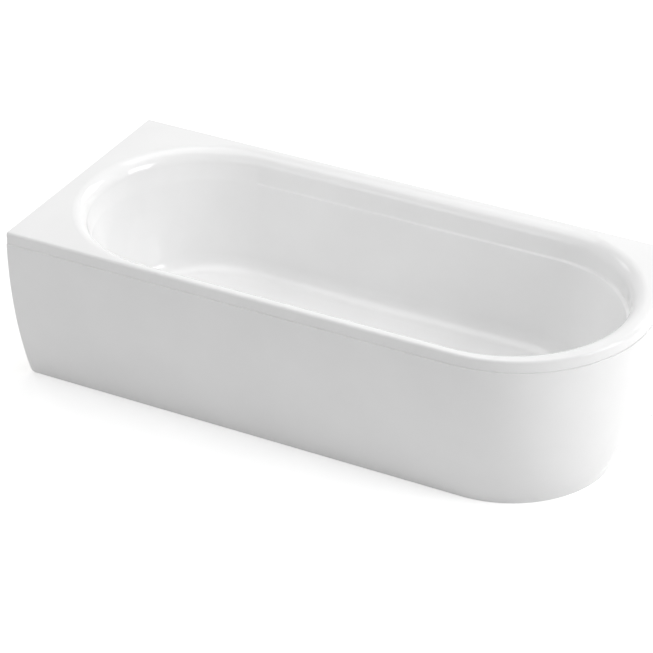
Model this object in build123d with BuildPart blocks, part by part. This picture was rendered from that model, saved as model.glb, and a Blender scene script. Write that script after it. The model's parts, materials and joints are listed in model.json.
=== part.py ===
from build123d import *
from math import acos, asin, atan2, cos, degrees, radians, sin, sqrt
import os

os.makedirs("parts", exist_ok=True)

# Corner bath with an oval basin and a one-piece curved apron, millimetres.
# X runs along the bath, from the left wall to the rounded right end. Y runs from the apron to the
# back wall and Z is up. The origin is on the floor, under the middle of the bath.

# Overall sizes
bath_length = 1700
bath_width = 750
rim_height = 485
corner_radius = 380

# Acrylic shell with its glass fibre backing
shell = 5
lip_height = 33
lip_setback = 3
rim_edge_radius = 8

# Basin
basin_left_margin = 36.5
basin_right_margin = 29.5
floor_right_setback = 62
roll_radius = 42
band_height = 38
band_slope = 2.5
ledge_width = 8
ledge_drop = 5
wall_slope = 34.5
floor_height = 135
floor_fillet = 50

# Apron
apron_wall = 4
apron_taper = 88
apron_top_flange = 25
apron_foot_flange = 18
apron_edge_radius = 1.5
apron_heel_radius = 13

# Seats and running fits, and how far a cut runs past the face that it opens
seat_gap = 0.3
running_gap = 0.05
screw_clearance = 0.3
overcut = 1

# Wooden reinforcement
board_thickness = 12
board_margin = 4
board_hole_margin = 8
batten_height = 25
batten_width = 36
front_batten_left_margin = 50
front_batten_corner_gap = 10
right_batten_corner_gap = 20
right_batten_back_margin = 15
back_batten_right_margin = 350
back_batten_left_margin = 290
left_batten_back_margin = 75
left_batten_front_margin = 155
foot_batten_height = 30
foot_batten_overhang = 1

# Wood screws
screw_radius = 2
screw_head = 4
screw_bite = 10
long_screw_bite = 14

# Apron fixings
front_fixings = 4
front_fixing_left_margin = 150
front_fixing_corner_gap = 30
right_fixing_corner_gap = 55
right_fixing_back_margin = 45
clip_width = 30
clip_sheet = 1.5
bracket_width = 40
bracket_leg = 36
bracket_sheet = 2
floor_hole_radius = 3

# Wall hooks
hook_width = 60
hook_sheet = 2
hook_drop = 45
hook_rise = 18
hook_hole_rise = 12
hook_hole_radius = 3
hook_hole_spacing = 36
back_hook_left_margin = 210
back_hook_right_margin = 250
left_hook_front_margin = 105

# Cradle and feet
rail_left_inset = 18
rail_right_inset = 63
rail_end = 37
rail_sheet = 2
rail_inside = 30
rail_depth = 28
rail_lip = 18
rail_screw_gap = 35
foot_inset = 150
foot_pad_radius = 30
foot_pad_rim = 6
foot_pad_collar = 12
foot_pad_height = 16
foot_pad_floor = 4
stud_radius = 6
stud_clearance = 0.5
stud_headroom = 10
stud_chamfer = 1
nut_across = 18
weld_nut_height = 10
lock_nut_height = 6

# Pop-up waste in the floor
waste_hole_radius = 26
waste_recess_radius = 37
waste_recess = 3
waste_boss_radius = 46
flange_radius = 36
flange_edge = 1.5
flange_bore = 22
flange_sleeve = 2.5
flange_reach = 20
spoke_width = 3
spoke_height = 8
hub_radius = 7
plug_radius = 31
plug_edge = 1.5
plug_crown = 6
plug_boss_radius = 12
stem_radius = 4
stem_length = 31
plug_seal_height = 3.5
plug_seal_clearance = 0.5
gasket_thickness = 3
body_flange_radius = 44
body_flange_height = 4
body_radius = 36
body_wall = 3
body_height = 42
neck_length = 16
pipe_radius = 19.5
pipe_wall = 2.2
outlet_radius = 20
port_height = 98
port_reach = 52

# Travel of the knob and of the rocker that it lifts the plug with, degrees
knob_swing = 110
rocker_swing = 30

# Rocker under the plug's stem
rocker_arm = 18
rocker_crank = 12
rocker_width = 6
rocker_hub_radius = 5
rocker_tip_radius = 3
rocker_arm_thickness = 4
rocker_wire_radius = 1
rocker_pin_radius = 2

# Trap
bend_radius = 30
trap_run = 6
trap_tail = 10
union_radius = 25.5
union_length = 17
union_ribs = 12
union_rib_radius = 2
cap_boss_radius = 13
cap_boss_length = 12
cap_boss_wall = 2.5
cap_wall = 3
cap_skirt = 9

# Overflow in the front wall
overflow_drop = 127
overflow_hole_radius = 28
overflow_plate_radius = 35
overflow_plate_thickness = 3
overflow_slots = 6
overflow_slot_radius = 5
overflow_slot_ring = 17
overflow_screw_ring = 24
knob_radius = 36
knob_standoff = 8
knob_thickness = 13
knob_crown = 4
knob_wall = 2.5
knob_boss_radius = 10
knob_flutes = 12
knob_flute_radius = 7
knob_flute_depth = 1.5
spindle_radius = 6
spindle_reach = 24
plate_hub_radius = 9
plate_hub_length = 14
crank_radius = 9
crank_cover = 3
crank_pin_radius = 1.5
crank_pin_length = 5
housing_radius = 35
housing_depth = 34
housing_wall = 3
ear_width = 9
ear_reach = 15
ear_height = 8
spigot_depth = 24
spigot_length = 22

# Overflow hose and cable
hose_radius = 15
hose_wall = 2
hose_bend = 62
hose_inset = 1
hose_clip_radius = 18
hose_clip_length = 10
cable_radius = 3
cable_offset = 26
gland_radius = 5.5
gland_length = 22

# Places that follow from the sizes above
left_x = -bath_length / 2
right_x = bath_length / 2
front_y = -bath_width / 2
back_y = bath_width / 2
lip_front_y = front_y + lip_setback
basin_y = (lip_front_y + back_y) / 2
lip_bottom = rim_height - lip_height
roll_start_radius = (back_y - lip_front_y) / 2 - rim_edge_radius
wall_radius = roll_start_radius - roll_radius
roll_z = rim_height - roll_radius
crease_z = roll_z - band_height
crease_radius = wall_radius - band_slope
ledge_z = crease_z - ledge_drop
ledge_radius = crease_radius - ledge_width
floor_radius = ledge_radius - wall_slope
shell_bottom = floor_height - shell
board_bottom = shell_bottom - board_thickness
apron_top = lip_bottom - seat_gap
apron_curve = (apron_top**2 + apron_taper**2) / (2 * apron_taper)
corner_x = right_x - corner_radius
corner_y = front_y + corner_radius
left_centre_x = left_x + basin_left_margin + roll_start_radius
right_centre_x = right_x - basin_right_margin - roll_start_radius
floor_right_centre_x = right_centre_x - floor_right_setback
overflow_height = rim_height - overflow_drop


def save(piece, name):
    """Label a finished piece and write its file."""
    piece.part.label = name
    export_step(piece.part, f"parts/{name}.step")


def profile(plane, *points):
    """A closed outline of straight lines."""
    with BuildSketch(plane) as outline:
        with BuildLine():
            Polyline(*points, close=True)
        make_face()
    return outline.sketch


def plan_outline(z, front_inset, wall_inset):
    """Plan of the bath: square at the walls, rounded where the front meets the right end."""
    radius = corner_radius - front_inset
    left, right = left_x + wall_inset, right_x - front_inset
    front, back = front_y + front_inset, back_y - wall_inset
    with BuildSketch(Plane.XY.offset(z)) as outline:
        with BuildLine():
            straight = Polyline((right, back), (left, back), (left, front), (right - radius, front))
            bend = JernArc(straight @ 1, straight % 1, radius, 90)
            Line(bend @ 1, straight @ 0)
        make_face()
    return outline.sketch


# Basin forms


def roll_section(plane, grow, top):
    """Half section of the filled basin from the crease's ledge up to the rolled rim."""
    with BuildSketch(plane) as section:
        with BuildLine():
            wall = Polyline(
                (0, top),
                (0, ledge_z),
                (ledge_radius + grow, ledge_z),
                (crease_radius + grow, crease_z),
                (wall_radius + grow, roll_z),
            )
            roll = CenterArc((roll_start_radius, roll_z), roll_radius - grow, 180, -90)
            if top > rim_height:
                Polyline(roll @ 1, (roll_start_radius, top), wall @ 0)
            else:
                Line(roll @ 1, wall @ 0)
        make_face()
    return section.sketch


def level_section(z, grow):
    """Level section of the basin's sloping walls: a slot with round ends."""
    share = (ledge_z - z) / (ledge_z - floor_height)
    last_centre_x = right_centre_x - share * (right_centre_x - floor_right_centre_x)
    radius = ledge_radius - share * wall_slope + grow
    with BuildSketch(Plane.XY.offset(z)) as section:
        with Locations(((left_centre_x + last_centre_x) / 2, basin_y)):
            SlotCenterToCenter(last_centre_x - left_centre_x, 2 * radius)
    return section.sketch


def basin_form(grow, top):
    """The basin as a filled body, grown outwards from the surface that the water meets."""
    left_plane = Plane(origin=(left_centre_x, basin_y, 0), x_dir=(0, 1, 0), z_dir=(1, 0, 0))
    right_plane = Plane(origin=(right_centre_x, basin_y, 0), x_dir=(0, -1, 0), z_dir=(-1, 0, 0))
    with BuildPart() as form:
        for plane in (left_plane, right_plane):
            section = roll_section(plane, grow, top)
            extrude(section, amount=right_centre_x - left_centre_x)
            revolve(section, axis=Axis(plane.origin, (0, 0, 1)), revolution_arc=180)
        loft([level_section(ledge_z, grow), level_section(floor_height - grow, grow)], ruled=True)
        fillet(form.edges().group_by(Axis.Z)[0], radius=floor_fillet + grow)
    return form.part


water_form = basin_form(0, rim_height + overcut)
shell_form = basin_form(shell, rim_height - shell)
backing_form = basin_form(shell + seat_gap, rim_height - shell - seat_gap)

# Frame of the overflow: on the front wall's inner face, z into the basin and y down the wall
wall_lean = atan2(wall_slope, ledge_z - floor_height)
overflow_share = (overflow_height - floor_height) / (ledge_z - floor_height)
overflow_y = basin_y - floor_radius - overflow_share * wall_slope
overflow_plane = Plane(
    origin=(0, overflow_y, overflow_height), x_dir=(1, 0, 0), z_dir=(0, cos(wall_lean), sin(wall_lean))
)

# Acrylic shell: rim, lip and basin in one piece
with BuildPart() as tub_shell:
    extrude(plan_outline(lip_bottom, lip_setback, 0), amount=lip_height)
    rim_edges = tub_shell.edges().group_by(Axis.Z)[-1]
    outer_edges = [e for e in rim_edges if e.center().X > left_x + overcut and e.center().Y < back_y - overcut]
    fillet(outer_edges, radius=rim_edge_radius)
    extrude(
        plan_outline(lip_bottom, lip_setback + shell, shell), amount=lip_height - shell, mode=Mode.SUBTRACT
    )
    add(shell_form)
    with BuildSketch(Plane.XY.offset(shell_bottom - waste_recess)):
        with Locations((0, basin_y)):
            Circle(waste_boss_radius)
    extrude(amount=waste_recess + overcut)
    add(water_form, mode=Mode.SUBTRACT)
    with Locations((0, basin_y, floor_height)):
        CounterBoreHole(waste_hole_radius, waste_recess_radius, waste_recess, depth=4 * shell)
    with BuildSketch(overflow_plane):
        Circle(overflow_hole_radius)
    extrude(amount=2 * shell, both=True, mode=Mode.SUBTRACT)
save(tub_shell, "tub_shell")


# Section planes: the sketch's x runs inwards from the bath's edge and its y is the height
def front_plane(x):
    """Across the front at x, from the apron's widest line."""
    return Plane(origin=(x, front_y, 0), x_dir=(0, 1, 0), z_dir=(1, 0, 0))


def end_plane(y):
    """Across the right end at y, from the apron's widest line."""
    return Plane(origin=(right_x, y, 0), x_dir=(-1, 0, 0), z_dir=(0, 1, 0))


def back_plane(x):
    """Across the back at x, from the wall."""
    return Plane(origin=(x, back_y, 0), x_dir=(0, -1, 0), z_dir=(-1, 0, 0))


def left_plane(y):
    """Across the left end at y, from the wall."""
    return Plane(origin=(left_x, y, 0), x_dir=(1, 0, 0), z_dir=(0, -1, 0))


# Curved apron that stands under the rim's lip
apron_back = apron_curve - apron_wall


def turn_at(height, radius):
    """Turn of the apron's arc, in degrees, where a circle of this radius is at this height."""
    return degrees(asin((apron_top - height) / radius))


def apron_section(plane):
    """Curved face with a flange under the lip and a flange on the floor."""
    flange_under = apron_top - apron_wall
    foot = apron_taper + apron_foot_flange
    with BuildSketch(plane) as section:
        with BuildLine():
            face = CenterArc((apron_curve, apron_top), apron_curve, 180, turn_at(0, apron_curve))
            first_turn = turn_at(flange_under, apron_back)
            last_turn = turn_at(apron_wall, apron_back)
            back = CenterArc((apron_curve, apron_top), apron_back, 180 + first_turn, last_turn - first_turn)
            Polyline(face @ 1, (foot, 0), (foot, apron_wall), back @ 1)
            Polyline(back @ 0, (apron_top_flange, flange_under), (apron_top_flange, apron_top), face @ 0)
        make_face()
        fillet(section.vertices().sort_by(Axis.X)[0], radius=apron_edge_radius)
    return section.sketch


with BuildPart() as apron_panel:
    extrude(apron_section(front_plane(left_x)), amount=corner_x - left_x)
    corner_axis = Axis((corner_x, corner_y, 0), (0, 0, 1))
    revolve(apron_section(front_plane(corner_x)), axis=corner_axis, revolution_arc=90)
    extrude(apron_section(end_plane(corner_y)), amount=back_y - corner_y)
    with BuildSketch(Plane(origin=(left_x, 0, 0), x_dir=(1, 0, 0), z_dir=(0, -1, 0))):
        Rectangle(apron_heel_radius, apron_heel_radius, align=(Align.MIN, Align.MIN))
        with Locations((apron_heel_radius, apron_heel_radius)):
            Circle(apron_heel_radius, mode=Mode.SUBTRACT)
    extrude(amount=bath_width / 2, mode=Mode.SUBTRACT)
save(apron_panel, "apron_panel")

# Chipboard under the floor, with an opening round the waste
rail_places = {"left": left_centre_x + rail_left_inset, "right": floor_right_centre_x - rail_right_inset}
foot_y = bath_width / 2 - foot_inset
rail_screw_y = foot_y - rail_screw_gap
rail_screw_inset = rail_inside / 2 + rail_sheet + rail_lip / 2
rail_screw_places = [
    (x + side * rail_screw_inset, basin_y + row * rail_screw_y)
    for x in rail_places.values()
    for side in (-1, 1)
    for row in (-1, 1)
]
board_radius = floor_radius - floor_fillet - board_margin
with BuildPart() as base_board:
    with BuildSketch(Plane.XY.offset(board_bottom)):
        with Locations(((left_centre_x + floor_right_centre_x) / 2, basin_y)):
            SlotCenterToCenter(floor_right_centre_x - left_centre_x, 2 * board_radius)
        with Locations((0, basin_y)):
            Circle(waste_boss_radius + board_hole_margin, mode=Mode.SUBTRACT)
    extrude(amount=board_thickness)
    with BuildSketch(Plane.XY.offset(board_bottom)):
        with Locations(*rail_screw_places):
            Circle(screw_radius + running_gap)
    extrude(amount=screw_bite, mode=Mode.SUBTRACT)
save(base_board, "base_board")

# Battens bonded under the rim, shaped to the back of the roll
batten_top = rim_height - shell - seat_gap
batten_bottom = batten_top - batten_height
lip_inside = lip_setback + shell + seat_gap
wall_inside = shell + seat_gap
clip_screw_inset = (apron_top_flange + lip_inside + batten_width) / 2
first_fixing_x = left_x + front_fixing_left_margin
fixing_spacing = (corner_x - front_fixing_corner_gap - first_fixing_x) / (front_fixings - 1)
front_fixing_xs = [first_fixing_x + fixing_spacing * count for count in range(front_fixings)]
right_fixing_ys = [corner_y + right_fixing_corner_gap, back_y - right_fixing_back_margin]
front_clip_screws = [(x, front_y + clip_screw_inset, batten_bottom) for x in front_fixing_xs]
right_clip_screws = [(right_x - clip_screw_inset, y, batten_bottom) for y in right_fixing_ys]


front_batten_x = left_x + front_batten_left_margin
front_batten_length = corner_x - front_batten_corner_gap - front_batten_x
right_batten_y = corner_y + right_batten_corner_gap
right_batten_length = back_y - right_batten_back_margin - right_batten_y
back_batten_x = right_x - back_batten_right_margin
back_batten_length = back_batten_x - left_x - back_batten_left_margin
left_batten_y = back_y - left_batten_back_margin
left_batten_length = left_batten_y - front_y - left_batten_front_margin


def rim_batten(name, plane, first_inset, length, screw_places=()):
    """A batten from the plane onwards, cut to the back of the basin's roll."""
    with BuildPart() as batten:
        with BuildSketch(plane):
            with Locations((first_inset, batten_bottom)):
                Rectangle(batten_width, batten_height, align=(Align.MIN, Align.MIN))
        extrude(amount=length)
        add(backing_form, mode=Mode.SUBTRACT)
        for place in screw_places:
            with Locations(place):
                Cylinder(screw_radius + running_gap, 2 * screw_bite, mode=Mode.SUBTRACT)
    save(batten, name)


rim_batten("rim_batten_front", front_plane(front_batten_x), lip_inside, front_batten_length, front_clip_screws)
rim_batten("rim_batten_right", end_plane(right_batten_y), lip_inside, right_batten_length, right_clip_screws)
rim_batten("rim_batten_back", back_plane(back_batten_x), wall_inside, back_batten_length)
rim_batten("rim_batten_left", left_plane(left_batten_y), wall_inside, left_batten_length)

# Battens bonded inside the apron's foot, with a curved outer face
bracket_inset = apron_taper + apron_foot_flange + foot_batten_overhang
bracket_screw_height = apron_wall + foot_batten_height / 2
front_bracket_screws = [(x, front_y + bracket_inset, bracket_screw_height) for x in front_fixing_xs]
right_bracket_screws = [(right_x - bracket_inset, y, bracket_screw_height) for y in right_fixing_ys]


def foot_batten(name, plane, length, screw_places, screw_turn):
    """A batten on the apron's foot flange, with a hole for each bracket's screw."""
    radius = apron_back - seat_gap
    top = apron_wall + foot_batten_height
    high_turn = turn_at(top, radius)
    low_turn = turn_at(apron_wall, radius)
    with BuildPart() as batten:
        with BuildSketch(plane):
            with BuildLine():
                outer = CenterArc((apron_curve, apron_top), radius, 180 + high_turn, low_turn - high_turn)
                Polyline(outer @ 1, (bracket_inset, apron_wall), (bracket_inset, top), outer @ 0)
            make_face()
        extrude(amount=length)
        for place in screw_places:
            with Locations(Location(place, screw_turn)):
                Cylinder(screw_radius + running_gap, 2 * long_screw_bite, mode=Mode.SUBTRACT)
    save(batten, name)


turn_to_front = (90, 0, 0)
turn_to_right = (0, 90, 0)
foot_batten(
    "foot_batten_front", front_plane(front_batten_x), front_batten_length, front_bracket_screws, turn_to_front
)
foot_batten(
    "foot_batten_right", end_plane(right_batten_y), right_batten_length, right_bracket_screws, turn_to_right
)


def screw(length):
    """Pan-head screw at the origin, its shank up along Z and its head below."""
    head_height = screw_head / 2
    with BuildPart() as body:
        with BuildSketch(Plane.XZ):
            with BuildLine():
                crown = TangentArc((0, -head_height), (screw_head, 0), tangent=(1, 0))
                Polyline(crown @ 1, (screw_radius, 0), (screw_radius, length), (0, length), crown @ 0)
            make_face()
        revolve(axis=Axis.Z)
    return body.part


# Z-shaped clips that hold the apron's flange up to the lip
leg_inset = apron_top_flange + seat_gap
upper_tab = batten_bottom - clip_sheet
lower_tab = apron_top - apron_wall - seat_gap


def clip_section(plane):
    """A step from the batten's underside down to the underside of the apron's flange."""
    return profile(
        plane,
        (leg_inset, batten_bottom),
        (lip_inside + batten_width, batten_bottom),
        (lip_inside + batten_width, upper_tab),
        (leg_inset + clip_sheet, upper_tab),
        (leg_inset + clip_sheet, lower_tab - clip_sheet),
        (lip_inside, lower_tab - clip_sheet),
        (lip_inside, lower_tab),
        (leg_inset, lower_tab),
    )


fixing_planes = [front_plane(x) for x in front_fixing_xs] + [end_plane(y) for y in right_fixing_ys]
clip_screw_places = front_clip_screws + right_clip_screws
with BuildPart() as apron_clips:
    for plane in fixing_planes:
        extrude(clip_section(plane), amount=clip_width / 2, both=True)
    with Locations(*clip_screw_places):
        Cylinder(screw_radius + screw_clearance, 4 * clip_sheet, mode=Mode.SUBTRACT)
save(apron_clips, "apron_clips")

short_screw = screw(screw_bite)
with BuildPart() as clip_screws:
    with Locations(*[(x, y, upper_tab) for x, y, z in clip_screw_places]):
        add(short_screw)
save(clip_screws, "clip_screws")


# Angle brackets that hold the apron's foot to the floor
def bracket_section(plane):
    """An angle with its upright against the foot batten and its base on the floor."""
    return profile(
        plane,
        (bracket_inset, 0),
        (bracket_inset + bracket_leg, 0),
        (bracket_inset + bracket_leg, bracket_sheet),
        (bracket_inset + bracket_sheet, bracket_sheet),
        (bracket_inset + bracket_sheet, bracket_leg),
        (bracket_inset, bracket_leg),
    )


floor_hole_inset = bracket_inset + bracket_sheet + bracket_leg / 2
floor_holes = [(x, front_y + floor_hole_inset, 0) for x in front_fixing_xs]
floor_holes += [(right_x - floor_hole_inset, y, 0) for y in right_fixing_ys]
with BuildPart() as floor_brackets:
    for plane in fixing_planes:
        extrude(bracket_section(plane), amount=bracket_width / 2, both=True)
    with Locations(*floor_holes):
        Cylinder(floor_hole_radius, 4 * bracket_sheet, mode=Mode.SUBTRACT)
    with Locations(*[Location(place, turn_to_front) for place in front_bracket_screws]):
        Cylinder(screw_radius + screw_clearance, 4 * bracket_sheet, mode=Mode.SUBTRACT)
    with Locations(*[Location(place, turn_to_right) for place in right_bracket_screws]):
        Cylinder(screw_radius + screw_clearance, 4 * bracket_sheet, mode=Mode.SUBTRACT)
save(floor_brackets, "floor_brackets")

long_screw = screw(long_screw_bite)
with BuildPart() as bracket_screws:
    with Locations(*[Location((x, y + bracket_sheet, z), turn_to_front) for x, y, z in front_bracket_screws]):
        add(long_screw)
    with Locations(*[Location((x - bracket_sheet, y, z), turn_to_right) for x, y, z in right_bracket_screws]):
        add(long_screw)
save(bracket_screws, "bracket_screws")

# Wall hooks that the lip drops over
hook_foot = lip_bottom - seat_gap


def wall_hook(name, plane, hole_turn):
    """A plate on the wall that turns up behind the lip, with two screw holes."""
    section = profile(
        plane,
        (0, hook_foot),
        (wall_inside, hook_foot),
        (wall_inside, hook_foot + hook_rise),
        (wall_inside + hook_sheet, hook_foot + hook_rise),
        (wall_inside + hook_sheet, hook_foot - hook_sheet),
        (hook_sheet, hook_foot - hook_sheet),
        (hook_sheet, hook_foot - hook_drop),
        (0, hook_foot - hook_drop),
    )
    middle = plane.origin + Vector(0, 0, hook_foot - hook_drop + hook_hole_rise)
    along = plane.z_dir * (hook_hole_spacing / 2)
    with BuildPart() as hook:
        extrude(section, amount=hook_width / 2, both=True)
        with Locations(Location(middle - along, hole_turn), Location(middle + along, hole_turn)):
            Cylinder(hook_hole_radius, 4 * hook_sheet, mode=Mode.SUBTRACT)
    save(hook, name)


wall_hook("wall_hook_back_left", back_plane(left_x + back_hook_left_margin), turn_to_front)
wall_hook("wall_hook_back_right", back_plane(right_x - back_hook_right_margin), turn_to_front)
wall_hook("wall_hook_left", left_plane(front_y + left_hook_front_margin), turn_to_right)

# Hat-section cross rails, open upwards, screwed to the board
rail_web = board_bottom - rail_depth
foot_places = {
    f"{row}_{side}": (x, basin_y + way * foot_y)
    for side, x in rail_places.items()
    for row, way in (("front", -1), ("back", 1))
}


def cross_rail(name, x):
    """A folded steel rail across the bath, with a hole for each foot."""
    inner = rail_inside / 2
    outer = inner + rail_sheet
    right_half = [
        (inner, rail_web + rail_sheet),
        (inner, board_bottom),
        (outer + rail_lip, board_bottom),
        (outer + rail_lip, board_bottom - rail_sheet),
        (outer, board_bottom - rail_sheet),
        (outer, rail_web),
    ]
    left_half = [(-u, z) for u, z in reversed(right_half)]
    rail_plane = Plane(origin=(x, basin_y, 0), x_dir=(-1, 0, 0), z_dir=(0, 1, 0))
    section = profile(rail_plane, *right_half, *left_half)
    with BuildPart() as rail:
        extrude(section, amount=foot_y + rail_end, both=True)
        with Locations(*[(foot_x, y, rail_web) for foot_x, y in foot_places.values()]):
            Cylinder(stud_radius + stud_clearance, 4 * rail_sheet, mode=Mode.SUBTRACT)
        with Locations(*[(screw_x, y, board_bottom) for screw_x, y in rail_screw_places]):
            Cylinder(screw_radius + screw_clearance, 4 * rail_sheet, mode=Mode.SUBTRACT)
    save(rail, name)


for side, x in rail_places.items():
    cross_rail(f"cross_rail_{side}", x)

with BuildPart() as rail_screws:
    with Locations(*[(x, y, board_bottom - rail_sheet) for x, y in rail_screw_places]):
        add(short_screw)
save(rail_screws, "rail_screws")


# Levelling feet: a threaded stud in the rail's weld nut, with a lock nut and a plastic pad
def stud_nuts(name, top, height):
    """A hexagon nut round each stud."""
    with BuildPart() as nuts:
        with BuildSketch(Plane.XY.offset(top - height)):
            with Locations(*foot_places.values()):
                RegularPolygon(nut_across / 2, 6, major_radius=False)
                Circle(stud_radius + running_gap, mode=Mode.SUBTRACT)
        extrude(amount=height)
    save(nuts, name)


stud_nuts("weld_nuts", rail_web, weld_nut_height)
stud_nuts("lock_nuts", rail_web - weld_nut_height, lock_nut_height)

stud_top = board_bottom - stud_headroom
for place_name, place in foot_places.items():
    with BuildPart() as foot_stud:
        with BuildSketch(Plane.XY.offset(foot_pad_floor)):
            with Locations(place):
                Circle(stud_radius)
        extrude(amount=stud_top - foot_pad_floor)
        chamfer(foot_stud.edges().group_by(Axis.Z)[-1], length=stud_chamfer)
    save(foot_stud, f"foot_stud_{place_name}")
    pad_section = profile(
        Plane(origin=(*place, 0), x_dir=(1, 0, 0), z_dir=(0, -1, 0)),
        (0, 0),
        (foot_pad_radius, 0),
        (foot_pad_radius, foot_pad_rim),
        (foot_pad_collar, foot_pad_height),
        (stud_radius + running_gap, foot_pad_height),
        (stud_radius + running_gap, foot_pad_floor),
        (0, foot_pad_floor),
    )
    with BuildPart() as foot_pad:
        revolve(pad_section, axis=Axis((*place, 0), (0, 0, 1)))
    save(foot_pad, f"foot_pad_{place_name}")

# Waste in the middle of the floor: a chromed flange clamped to the body through a gasket
waste_plane = Plane(origin=(0, basin_y, 0), x_dir=(1, 0, 0), z_dir=(0, -1, 0))
waste_axis = Axis((0, basin_y, 0), (0, 0, 1))
flange_seat = floor_height - waste_recess
sleeve_radius = flange_bore + flange_sleeve
sleeve_end = floor_height - flange_reach
gasket_top = shell_bottom - waste_recess
body_top = gasket_top - gasket_thickness
flange_section = profile(
    waste_plane,
    (flange_bore, sleeve_end),
    (sleeve_radius, sleeve_end),
    (sleeve_radius, flange_seat),
    (flange_radius, flange_seat),
    (flange_radius, floor_height - flange_edge),
    (flange_radius - flange_edge, floor_height),
    (flange_bore + flange_edge, floor_height),
    (flange_bore, floor_height - flange_edge),
)
with BuildPart() as waste_flange:
    revolve(flange_section, axis=waste_axis)
    with BuildSketch(Plane.XY.offset(sleeve_end)):
        with Locations((0, basin_y)):
            Rectangle(flange_bore + sleeve_radius, spoke_width)
            Rectangle(spoke_width, flange_bore + sleeve_radius)
            Circle(hub_radius)
            Circle(stem_radius + running_gap, mode=Mode.SUBTRACT)
    extrude(amount=spoke_height)
save(waste_flange, "waste_flange")

with BuildPart() as waste_gasket:
    with BuildSketch(Plane.XY.offset(body_top)):
        with Locations((0, basin_y)):
            Circle(body_flange_radius)
            Circle(waste_hole_radius, mode=Mode.SUBTRACT)
    extrude(amount=gasket_thickness)
save(waste_gasket, "waste_gasket")

# Plug with its stem, and the rubber ring that seals it in the flange
plug_bottom = floor_height + seat_gap
plug_top = plug_bottom + plug_crown
plug_boss_end = plug_bottom - plug_seal_height
stem_end = plug_bottom - stem_length
with BuildPart() as pop_up_plug:
    with BuildSketch(waste_plane):
        with BuildLine():
            crown = TangentArc((0, plug_top), (plug_radius, plug_bottom + plug_edge), tangent=(1, 0))
            Polyline(
                crown @ 1,
                (plug_radius, plug_bottom),
                (plug_boss_radius, plug_bottom),
                (plug_boss_radius, plug_boss_end),
                (stem_radius, plug_boss_end),
                (stem_radius, stem_end),
                (0, stem_end),
                crown @ 0,
            )
        make_face()
    revolve(axis=waste_axis)
save(pop_up_plug, "pop_up_plug")

with BuildPart() as plug_seal:
    with BuildSketch(Plane.XY.offset(plug_boss_end)):
        with Locations((0, basin_y)):
            Circle(flange_bore - plug_seal_clearance)
            Circle(plug_boss_radius + running_gap, mode=Mode.SUBTRACT)
    extrude(amount=plug_seal_height)
save(plug_seal, "plug_seal")

# Waste body with its neck, overflow port and cable gland
cup_top = body_top - body_flange_height
cup_bottom = cup_top - body_height
neck_end = cup_bottom - neck_length
collar_radius = sleeve_radius + body_wall
hose_fit_radius = hose_radius - hose_wall - running_gap
port_bore = hose_fit_radius - body_wall / 2
port_root = body_radius - body_wall
rocker_lean = rocker_swing / 2
rocker_y = basin_y + rocker_arm
rocker_z = stem_end - seat_gap - rocker_tip_radius + rocker_arm * sin(radians(rocker_lean))
pin_length = 2 * sqrt((body_radius - body_wall / 2) ** 2 - rocker_arm**2)
body_section = profile(
    waste_plane,
    (sleeve_radius + running_gap, body_top),
    (body_flange_radius, body_top),
    (body_flange_radius, cup_top),
    (body_radius, cup_top),
    (body_radius, cup_bottom),
    (pipe_radius, cup_bottom),
    (pipe_radius, neck_end),
    (pipe_radius - pipe_wall, neck_end),
    (pipe_radius - pipe_wall, cup_bottom + body_wall),
    (body_radius - body_wall, cup_bottom + body_wall),
    (body_radius - body_wall, cup_top),
    (collar_radius, cup_top),
    (collar_radius, sleeve_end),
    (sleeve_radius + running_gap, sleeve_end),
)


def port_plane(x, reach):
    """Plane across the waste's front at a distance from its middle, facing the back wall."""
    return Plane(origin=(x, basin_y - reach, port_height), x_dir=(1, 0, 0), z_dir=(0, 1, 0))


gland_start = sqrt(port_root**2 - cable_offset**2)
with BuildPart() as waste_body:
    revolve(body_section, axis=waste_axis)
    with BuildSketch(port_plane(0, port_reach)):
        Circle(hose_fit_radius)
    extrude(amount=port_reach - port_root)
    with BuildSketch(port_plane(0, port_reach)):
        Circle(port_bore)
    extrude(amount=port_reach - port_root + 2 * body_wall, mode=Mode.SUBTRACT)
    with BuildSketch(port_plane(cable_offset, gland_start + gland_length)):
        Circle(gland_radius)
    extrude(amount=gland_length)
    with BuildSketch(port_plane(cable_offset, gland_start + gland_length)):
        Circle(cable_radius + running_gap)
    extrude(amount=gland_length + 2 * body_wall, mode=Mode.SUBTRACT)
    with Locations(Location((0, rocker_y, rocker_z), turn_to_right)):
        Cylinder(rocker_pin_radius + running_gap, 2 * body_radius, mode=Mode.SUBTRACT)
save(waste_body, "waste_body")


# Bell crank that the cable pulls to lift the plug
def rocker_link(reach, tip_radius, angle):
    """An arm from the hub to a round tip, at an angle in the rocker's plane."""
    with BuildSketch(Plane(origin=(0, rocker_y, rocker_z), x_dir=(0, 1, 0), z_dir=(1, 0, 0))) as link:
        with Locations(Location((0, 0), angle)):
            with Locations((reach / 2, 0)):
                Rectangle(reach, rocker_arm_thickness)
            with Locations((reach, 0)):
                Circle(tip_radius)
        Circle(rocker_hub_radius)
    return link.sketch


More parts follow.
